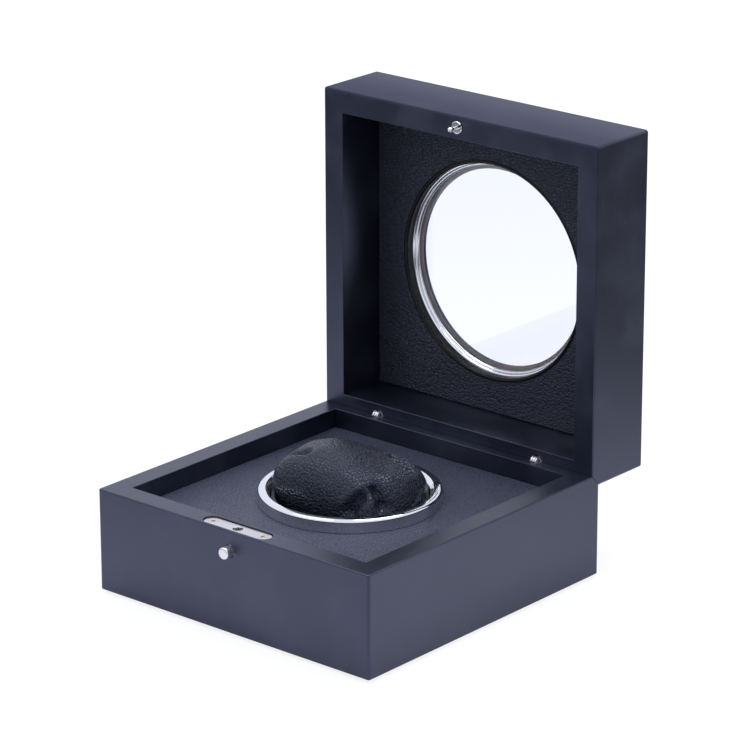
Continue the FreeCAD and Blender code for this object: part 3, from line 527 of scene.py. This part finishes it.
for vertex in cushion.data.vertices:
    out = vertex.co - pad_middle
    share = Vector((out.x / pad_half.x, out.y / pad_half.y, out.z / pad_half.z))
    plan = (abs(share.x) ** plan_power + abs(share.y) ** plan_power) ** (1 / plan_power)
    size = (plan ** side_power + abs(share.z) ** side_power) ** (1 / side_power)
    waist = 1 - waist_depth * math.exp(-(share.x / waist_reach) ** 2)
    vertex.co = in_cup(pad_middle + Vector((out.x, out.y * waist, out.z)) / size)
seams = cushion.vertex_groups.new(name="seams")
held = [v.index for v in cushion.data.vertices if abs(abs(v.co.x) - seam_out) < seam_reach]
seams.add(held, 1.0, "REPLACE")
drawn = [v.co.copy() for v in cushion.data.vertices]
cloth = cushion.modifiers.new("cover", "CLOTH")
cloth.settings.quality = 6
cloth.settings.vertex_group_mass = "seams"
cloth.settings.use_pressure = True
cloth.settings.uniform_pressure_force = 4.0
cloth.settings.effector_weights.gravity = 0.0
cloth.point_cache.frame_start = 1
cloth.point_cache.frame_end = blow_frames
for step in range(1, blow_frames + 1):
    bpy.context.scene.frame_set(step)
pick_up(cushion)
bpy.ops.object.modifier_apply(modifier="cover")
bpy.context.scene.frame_set(1)
for vertex, start in zip(cushion.data.vertices, drawn):
    move = vertex.co - start
    vertex.co = in_cup(start + move * min(1, blow_limit / max(move.length, 1e-9)))
apply_modifier(cushion, "SUBSURF", levels=1, render_levels=1)


def press(piece, path, radius, depth):
    """Presses a groove, or with a negative depth raises a fold, along a path on the cover."""
    path = [Vector(point) for point in path]
    middle = sum(path, Vector()) / len(path)
    reach = max((point - middle).length for point in path) + radius * 3
    near = [vertex for vertex in piece.data.vertices if (vertex.co - middle).length < reach]
    normals = [vertex.normal.copy() for vertex in near]
    for vertex, normal in zip(near, normals):
        nearest = reach
        for start, end in zip(path, path[1:]):
            run = end - start
            along = (vertex.co - start).dot(run) / max(run.length_squared, 1e-12)
            nearest = min(nearest, (vertex.co - start - run * min(max(along, 0), 1)).length)
        vertex.co -= normal * depth * math.exp(-(nearest / radius) ** 2)


lobe = [(0.0286, -0.0045, 0.0589), (0.0315, -0.0009, 0.0557)]
ridge = [
    (0.0257, -0.0147, 0.0592), (0.0231, -0.0184, 0.0578),
    (0.0196, -0.0211, 0.0549), (0.0151, -0.0227, 0.0499),
]
tuck = [(0.0239, -0.0207, 0.0535), (0.0216, -0.0222, 0.0500), (0.0197, -0.0227, 0.0468)]
hollow = [
    (0.0275, -0.0154, 0.0575), (0.0297, -0.0152, 0.0556),
    (0.0313, -0.0151, 0.0532), (0.0326, -0.0146, 0.0500),
]
gather = [
    (0.0258, -0.0188, 0.0557), (0.0285, -0.0186, 0.0530),
    (0.0306, -0.0177, 0.0505), (0.0322, -0.0162, 0.0480),
]
dent = [
    (0.0171, 0.0104, 0.0637), (0.0201, 0.0105, 0.0630), (0.0231, 0.0103, 0.0619), (0.0267, 0.0096, 0.0601),
]
end_seam = [
    (0.0331, 0.0110, 0.0517), (0.0338, 0.0088, 0.0497), (0.0342, 0.0055, 0.0474), (0.0342, 0.0020, 0.0455),
]
for way in (1, -1):
    for path, radius, depth in (
        (lobe, 0.0062, -0.0014), (ridge, 0.0022, -0.0006), (tuck, 0.0032, 0.0034), (hollow, 0.0034, 0.0046),
        (gather, 0.0008, -0.0009), (dent, 0.0024, 0.0036), (end_seam, 0.0009, 0.0010),
    ):
        press(cushion, [(x * way, y * way, z) for x, y, z in path], radius, depth)
for vertex in cushion.data.vertices:
    vertex.co = in_cup(vertex.co)
smooth(cushion, 80)
cushion_leather = leather(
    "pebbled_cushion_leather", 0.00155, 0.00042, (0.0034, 0.0038, 0.0066, 1.0), (0.0088, 0.0100, 0.0180, 1.0),
    0.24, 1.46,
)
wear(cushion, cushion_leather, "cushion_leather", "cushion", "cushion")

# Lock plate: a nickel-plated strip with round ends, let into the front rim over the lock.
# Two small bronzed countersunk screws hold it, and the lid's stud drops into its hole.
strike_top = base_rim - 0.0006
stud_way = 0.0023
screw_x = 0.0146
plate = oblong_block("strike_plate", plate_long, plate_wide, strike_floor, strike_top)
cut_away(plate, new_rod(
    "cut", stud_way, (0, lock_y, strike_floor - overrun), (0, 0, 1), 2 * overrun + 0.001, 64,
))
for x in (-screw_x, screw_x):
    set_down()
    bpy.ops.mesh.primitive_cone_add(
        vertices=48, radius1=0.00115, radius2=0.00225, depth=0.0012,
        location=(x, lock_y, strike_top - 0.0005),
    )
    cut_away(plate, bpy.context.object)


def soften(piece, width, steps, test):
    """Rounds the chosen edges of a piece that is already in object mode."""
    pick_up(piece)
    bpy.ops.object.mode_set(mode="EDIT")
    round_edges(width, steps, test)
    bpy.ops.object.mode_set(mode="OBJECT")


soften(plate, 0.00025, 3, lambda e: edge_at(e).z > strike_top - 0.0001 and is_square(e))
smooth(plate, 35)
nickel = Finish("satin_nickel", {"Metallic": 1.0})
brushed = nickel.clouds(1.0, 3.0, nickel.stretched((500.0, 5200.0, 5200.0)))
nickel.feed("Base Color", nickel.blend(brushed, (0.56, 0.54, 0.55, 1.0), (0.74, 0.71, 0.72, 1.0)))
nickel.feed("Roughness", 0.24 + brushed * 0.16)
wear(plate, nickel, "satin_nickel", "base", "lock_plate")
plate_screws = turn("strike_screws", [
    (0.0011, -0.010), (0.0011, -0.001), (0.0020, -0.00012), (0.00208, -0.00004), (0.00205, 0.0),
    (0.0015, 0.00002), (0.0006, 0.00002),
], 48, closed=False)


def put(piece, place):
    """Moves a piece by a matrix and leaves its new place in its mesh."""
    pick_up(piece)
    piece.matrix_world = place
    bpy.ops.object.transform_apply(location=True, rotation=True, scale=True)


put(plate_screws, Matrix.Translation((-screw_x, lock_y, strike_top)))
for half_x, half_y in ((0.00125, 0.00026), (0.00026, 0.00125)):
    cut_away(plate_screws, new_block(
        "cut", (-screw_x - half_x, lock_y - half_y, strike_top - 0.0007),
        (-screw_x + half_x, lock_y + half_y, strike_top + overrun),
    ))
pick_up(plate_screws)
bpy.ops.object.mode_set(mode="EDIT")
bpy.ops.mesh.select_all(action="SELECT")
bpy.ops.mesh.duplicate_move(TRANSFORM_OT_translate={"value": (2 * screw_x, 0, 0)})
bpy.ops.object.mode_set(mode="OBJECT")
smooth(plate_screws, 35)
screw_metal = Finish("bronzed_screw", {"Metallic": 1.0})
tarnish = screw_metal.clouds(1800.0, 3.0)
screw_metal.feed("Base Color", screw_metal.blend(tarnish, (0.55, 0.48, 0.42, 1.0), (0.74, 0.69, 0.64, 1.0)))
screw_metal.feed("Roughness", 0.28 + tarnish * 0.2)
wear(plate_screws, screw_metal, "bronze_screw", "base", "lock_plate_screws")

# Push button: turned brass, nickel plated, with a rounded edge and a flat polished face.
# Its stem runs through the front board and pushes the catch off the lid's stud.
button_long = 0.0109
button_out = 0.0045
button_round = 0.0008
button = turn("press_button", [
    (0.0014, 0.0), (0.0014, 0.0066), (0.00285, 0.0066),
    *arc((0.00205, button_long - button_round), button_round, 0, 90, 5), (0.0006, button_long),
], 64, closed=False)
put(button, (
    Matrix.Translation((0, -case_half - button_out + button_long, button_z))
    @ Matrix.Rotation(math.pi / 2, 4, "X")
))
smooth(button, 35)
wear(button, nickel, "satin_nickel", "button", "push_button")

# Barrel hinges: nickel-plated turned barrels sunk in both back rims, with a tongue between
# two ears on a cross pin, so only their round knuckles show when the lid stands open.
knuckle_radius = 0.0022
barrel_radius = 0.003
barrel_length = 0.012
knuckle_slot = 0.00175
root_half = 0.0019
slot_depth = knuckle_radius + 0.0004
lid_gap = 0.0003


def add_on(piece, extra):
    """Welds another solid to a piece."""
    apply_modifier(piece, "BOOLEAN", object=extra, operation="UNION", solver="EXACT")
    bpy.data.objects.remove(extra)


def hinge_half(name, x, rim, up, plates):
    """One barrel in a rim, slotted for the knuckle; up is the way from the rim into its board."""
    piece = new_rod(name, barrel_radius, (x, hinge_y, rim), (0, 0, up), barrel_length, 64)
    floor = rim + up * slot_depth
    outer = rim - up * overrun
    cut_away(piece, new_block(
        "cut", (x - knuckle_slot, hinge_y - barrel_radius - overrun, min(outer, floor)),
        (x + knuckle_slot, hinge_y + barrel_radius + overrun, max(outer, floor)),
    ))
    pick_up(piece)
    bpy.ops.object.mode_set(mode="EDIT")
    bpy.ops.mesh.select_all(action="SELECT")
    bpy.ops.mesh.bisect(plane_co=(0, hinge_y, rim), plane_no=(0, 1, -up), use_fill=True, clear_outer=True)
    bpy.ops.object.mode_set(mode="OBJECT")
    for offset, width in plates:
        left = x + offset - width / 2
        foot = floor + up * 0.0002
        disc = new_rod("knuckle", knuckle_radius, (left, hinge_y, base_rim), (1, 0, 0), width)
        soften(disc, width * 0.3, 4, is_square)
        root = new_block(
            "root", (left, hinge_y - root_half, min(base_rim, foot)),
            (left + width, hinge_y + root_half, max(base_rim, foot)),
        )
        set_down()
        add_on(piece, root)
        add_on(piece, disc)
    return piece


def turn_back(piece):
    """Turns a lid piece from the closed box to the open rest pose, about the hinge line."""
    hinge = Vector((0, hinge_y, base_rim))
    put(piece, Matrix.Translation(hinge) @ Matrix.Rotation(-math.pi / 2, 4, "X") @ Matrix.Translation(-hinge))


ears = ((-0.0012, 0.0009), (0.0012, 0.0009))
tongue = ((0, 0.0013),)
for body, node, rim, up, plates in (
    ("base", "base_hinge_barrels", base_rim, -1, ears),
    ("lid", "lid_hinge_barrels", base_rim + lid_gap, 1, tongue),
):
    pair = hinge_half(body + "_hinges", -hinge_x, rim, up, plates)
    add_on(pair, hinge_half("second", hinge_x, rim, up, plates))
    smooth(pair, 40)
    if body == "lid":
        turn_back(pair)
    wear(pair, nickel, "satin_nickel", body, node)

# Lid: four mitred boards under a thin top board with a round window, lacquered as the base.
# It is drawn closed here, as the box is made, and then turned back on its hinges.
lid_rim = base_rim + lid_gap
lid_top = 0.0871
top_board = 0.003
window_hole = 0.0472
window_bevel = 0.0014
stud_hole = 0.00125
stud_hole_depth = 0.009
lid_case = new_block("lid_case", (-case_half, -case_half, lid_rim), (case_half, case_half, lid_top))
choose("faces", lambda f: f.normal.z < -0.9)
bpy.ops.mesh.inset(thickness=case_wall, depth=0)
bpy.ops.mesh.extrude_region_move(TRANSFORM_OT_translate={"value": (0, 0, lid_top - top_board - lid_rim)})
round_case(lid_rim, -1)
cut_away(lid_case, new_rod(
    "cut", window_hole, (0, 0, lid_top - top_board - overrun), (0, 0, 1), top_board + 2 * overrun, 160,
))
for x, y, radius, depth in (
    (-hinge_x, hinge_y, hinge_hole, hinge_hole_depth), (hinge_x, hinge_y, hinge_hole, hinge_hole_depth),
    (0, lock_y, stud_hole, stud_hole_depth),
):
    cut_away(lid_case, new_rod("cut", radius, (x, y, lid_rim - overrun), (0, 0, 1), depth + overrun))
soften(lid_case, window_bevel, 1, lambda e: (
    edge_at(e).z > lid_top - 0.0001 and is_square(e) and edge_at(e).xy.length < window_hole + 0.0005
))
smooth(lid_case)
turn_back(lid_case)
wear(
    lid_case, lacquer, "lacquer", "lid",
    "lid_front_board", "lid_back_board", "lid_left_board", "lid_right_board", "lid_top_board",
)
lip_edge = Finish("thin_sprayed_board", {"Roughness": 0.7})
thin_spray = lip_edge.clouds(240.0, 4.0)
lip_edge.feed("Base Color", lip_edge.blend(thin_spray, (0.30, 0.25, 0.21, 1.0), (0.50, 0.44, 0.39, 1.0)))
lip_edge.bump(thin_spray, 0.0001, 0.4)
lid_case.data.materials.append(lip_edge.material)
lip_y = hinge_y + lid_top - top_board - base_rim
for face in lid_case.data.polygons:
    if abs(face.center.y - lip_y) < 0.0001 and face.normal.y < -0.9:
        face.material_index = 1

# Window: a round pane of clear glass bedded in a packing board behind the lid's top board.
# A bright turned ring with two beads is pushed in after it and clamps it to the lip.
glass_low = 0.0823
glass_high = 0.0841
glass_gap = 0.00005
pane_radius = 0.0535
pane = new_rod(
    "window_pane", pane_radius, (0, 0, glass_low + glass_gap), (0, 0, 1),
    glass_high - glass_low - 2 * glass_gap, 160,
)
soften(pane, 0.0003, 3, is_square)
smooth(pane, 50)
turn_back(pane)
glass = Finish("clear_glass", {
    "Base Color": (0.88, 0.905, 1.0, 1.0), "Transmission Weight": 1.0, "IOR": 1.50,
})
smears = glass.clouds(60.0, 3.0)
glass.feed("Roughness", glass.ramp(smears, 0.62, 0.85) * 0.02)
wear(pane, glass, "glass", "lid", "window_glass")
clamp_ring = turn("window_clamp_ring", [
    (pane_radius, glass_low), (pane_radius, 0.0797), *arc((0.0511, 0.0809), 0.0012, 270, 180, 8),
    *arc((0.0501, 0.0822), 0.0011, 270, 180, 8), (0.0490, glass_low),
], 160)
smooth(clamp_ring, 20)
turn_back(clamp_ring)
turned_chrome = Finish("turned_chrome", {"Metallic": 1.0})
lathe = turned_chrome.clouds(900.0, 3.0)
turned_chrome.feed("Base Color", turned_chrome.blend(lathe, (0.66, 0.67, 0.69, 1.0), (0.78, 0.79, 0.81, 1.0)))
turned_chrome.feed("Roughness", 0.06 + lathe * 0.12)
wear(clamp_ring, turned_chrome, "chrome", "lid", "window_ring")

# Lid panel: the same leather with a bolder grain, stretched over a board with a round hole and turned down
# inside it, so that a soft black lip runs round the window. The lip is coloured darker than the panel as a
# painted shade of the recess.
panel_low = 0.0757
panel_hole = 0.051
skirt_depth = 0.004
roll_radius = 0.0011
rolled_reach = 0.0540
panel = new_block(
    "lid_panel", (-cover_half, -cover_half, panel_low), (cover_half, cover_half, panel_low + leather_thick),
)
skirt_low = panel_low + leather_thick / 2
add_on(panel, new_rod(
    "skirt", panel_hole + leather_thick, (0, 0, skirt_low), (0, 0, 1),
    panel_low + skirt_depth - skirt_low, 160,
))
add_on(panel, turn("roll", arc((0.0522, panel_low + 0.0007), roll_radius, 0, 330, 11), 160))
cut_away(panel, new_rod(
    "cut", panel_hole, (0, 0, panel_low - overrun), (0, 0, 1), skirt_depth + 2 * overrun, 160,
))
soften(panel, rolled_round, 5, lambda e: edge_at(e).z < panel_low + 0.0001 and is_square(e))
smooth(panel)
turn_back(panel)
panel_leather = leather(
    "bold_panel_leather", 0.00140, 0.00048, (0.0070, 0.0080, 0.0115, 1.0), (0.024, 0.026, 0.038, 1.0),
    0.32, 1.45, (0.70, 1.0, 1.15),
)
wear(panel, panel_leather, "panel_leather", "lid", "lid_leather")
# The roll and the wall inside the hole get a darker colour than the panel: painted shade of the recess round
# the window.
rolled_edge = Finish("rolled_leather_edge", {"IOR": 1.28})
worn = rolled_edge.clouds(400.0, 3.0)
rolled_edge.feed("Base Color", rolled_edge.blend(
    worn, (0.0025, 0.0027, 0.0035, 1.0), (0.0060, 0.0065, 0.0085, 1.0),
))
rolled_edge.feed("Roughness", 0.16 + worn * 0.16)
panel.data.materials.append(rolled_edge.material)
for face in panel.data.polygons:
    corners = [panel.data.vertices[index].co for index in face.vertices]
    if max(math.hypot(corner.x, corner.z - base_rim - hinge_y) for corner in corners) < rolled_reach:
        face.material_index = 1

# Catch stud: turned, chromium plated and screwed into the lid's front rim by a slotted
# flange that seats on the rim. Its ball end snaps behind the lock's catch.
stud = turn("lid_stud", [
    (0.0012, 0.009), (0.0012, 0.0), (0.0029, 0.0), (0.0030, -0.0001),
    *arc((0.0026, -0.0004), 0.0004, 0, -90, 4),
    (0.0008, -0.0008), *arc((0.0, -0.0050), 0.00125, 50, -85, 10),
], 48, closed=False)
slot_turn = Matrix.Rotation(math.radians(-30), 3, "Z")
slot_half = 0.00045
slot_start = 0.0009
slot_floor = -0.0002
flange_face = -0.0008
near_by = 0.00001
for side in (1, -1):
    slot_cut = new_block("cut", (slot_start, -slot_half, -0.0010), (0.0036, slot_half, slot_floor))
    slot_cut.matrix_world = slot_turn.to_4x4() @ Matrix.Diagonal((side, side, 1, 1))
    cut_away(stud, slot_cut)


def in_slot(face):
    along, across, height = slot_turn.transposed() @ face.center
    return (
        abs(along) > slot_start - 5 * near_by and abs(across) < slot_half + near_by
        and flange_face + near_by < height < slot_floor + 5 * near_by
    )


slot_faces = [face.index for face in stud.data.polygons if in_slot(face)]
put(stud, Matrix.Translation((0, lock_y, lid_rim)))
smooth(stud, 40)
turn_back(stud)
wear(stud, chrome, "chrome", "lid", "catch_stud")
# The slot's faces get a dark metal colour of their own: a painted shade of the narrow slot, with a faint
# mottle.
shaded_slot = Finish("slot_painted_shade", {"Metallic": 1.0})
slot_mottle = shaded_slot.clouds(2200.0, 3.0)
shaded_slot.feed("Base Color", shaded_slot.blend(slot_mottle, (0.030, 0.024, 0.022, 1.0), (0.085, 0.070, 0.062, 1.0)))
shaded_slot.feed("Roughness", 0.45 + slot_mottle * 0.2)
stud.data.materials.append(shaded_slot.material)
for index in slot_faces:
    stud.data.polygons[index].material_index = 1

# Rear socket plate: moulded black plastic let flush into the back board, held by two screws.
# It carries the supply inlet and the slide switch that sets the turning programme.
dress(moulded, "rear_socket_plate")

# Studio: the box stands on a white paper sweep in an even white tent, as small goods are shot.
# The paper is white to the camera; for what the lacquer mirrors, its colour is a painted pool of light that
# darkens away from the box.
# Two softboxes above, out of the camera's sight, pick out the grain of the leather.
floor_side = 6.0
set_down()
bpy.ops.mesh.primitive_plane_add(size=floor_side, location=(0, 0, 0))
floor = bpy.context.object
floor.name = "studio_floor"
paper = Finish("white_paper", {"Roughness": 1.0, "Specular IOR Level": 0.0})
seen = paper.node("ShaderNodeLightPath", {}, {}, "Is Camera Ray")
through = paper.node("ShaderNodeLightPath", {}, {}, "Is Transmission Ray")
away = paper.node("ShaderNodeVectorMath", {"operation": "LENGTH"}, {0: paper.place}, "Value")
plain = seen.most(through)
# Painted pool of light: lighter near the box and darker away from it, for rays other than the camera's.
pool = 0.82 - 0.66 * paper.ramp(away, 0.14, 0.52)
paper.feed("Base Color", paper.blend(plain.most(pool), (0.0, 0.0, 0.0, 1.0), (1.0, 1.0, 1.0, 1.0)))
glow = paper.node("ShaderNodeEmission", {}, {"Color": (1.0, 1.0, 1.0, 1.0), "Strength": 1.0})
matt = Reading(paper, paper.shader.outputs[0])
lit_paper = paper.node("ShaderNodeMixShader", {}, {0: plain * 0.85, 1: matt, 2: glow})
paper.join(lit_paper, paper.end.inputs["Surface"])
floor.data.materials.append(paper.material)
scene = bpy.context.scene
scene.view_settings.view_transform = "Standard"
scene.world = bpy.data.worlds.new("white_tent")
scene.world.use_nodes = True


class Tent(Finish):
    """The tent's light: the world's own nodes, made as those of a finish are."""

    def __init__(self, tree):
        self.tree = tree
        self.shader = tree.nodes["Background"]


tent = Tent(scene.world.node_tree)
tent_seen = tent.node("ShaderNodeLightPath", {}, {}, "Is Camera Ray")
tent_through = tent.node("ShaderNodeLightPath", {}, {}, "Is Transmission Ray")
tent.feed("Color", tent.blend(tent_seen.most(tent_through), (0.94, 0.97, 1.10, 1.0), (1.0, 1.0, 1.0, 1.0)))
tent.feed("Strength", 1.0)
for name, at, side, power in (
    ("top_softbox", (-0.45, -0.35, 1.35), 0.60, 7.0), ("side_softbox", (0.30, 0.35, 1.40), 0.80, 12.0),
):
    lamp = bpy.data.lights.new(name, "AREA")
    lamp.shape = "SQUARE"
    lamp.size = side
    lamp.energy = power
    lamp.color = (0.94, 0.97, 1.0)
    softbox = bpy.data.objects.new(name, lamp)
    softbox.location = at
    softbox.rotation_euler = Vector(at).to_track_quat("Z", "Y").to_euler()
    softbox.visible_camera = False
    scene.collection.objects.link(softbox)
camera_turn = math.radians(40.696)
camera_rise = math.radians(19.194)
camera_roll = math.radians(-0.1355)
lens = bpy.data.cameras.new("still_camera")
lens.lens = 184.75
lens.sensor_width = 36.0
camera = bpy.data.objects.new("still_camera", lens)
camera.location = (1.06495, -1.22084, 0.66454)
camera.rotation_euler = (
    Matrix.Rotation(camera_turn, 3, "Z") @ Matrix.Rotation(math.pi / 2 - camera_rise, 3, "X")
    @ Matrix.Rotation(camera_roll, 3, "Z")
).to_euler()
scene.collection.objects.link(camera)
scene.camera = camera
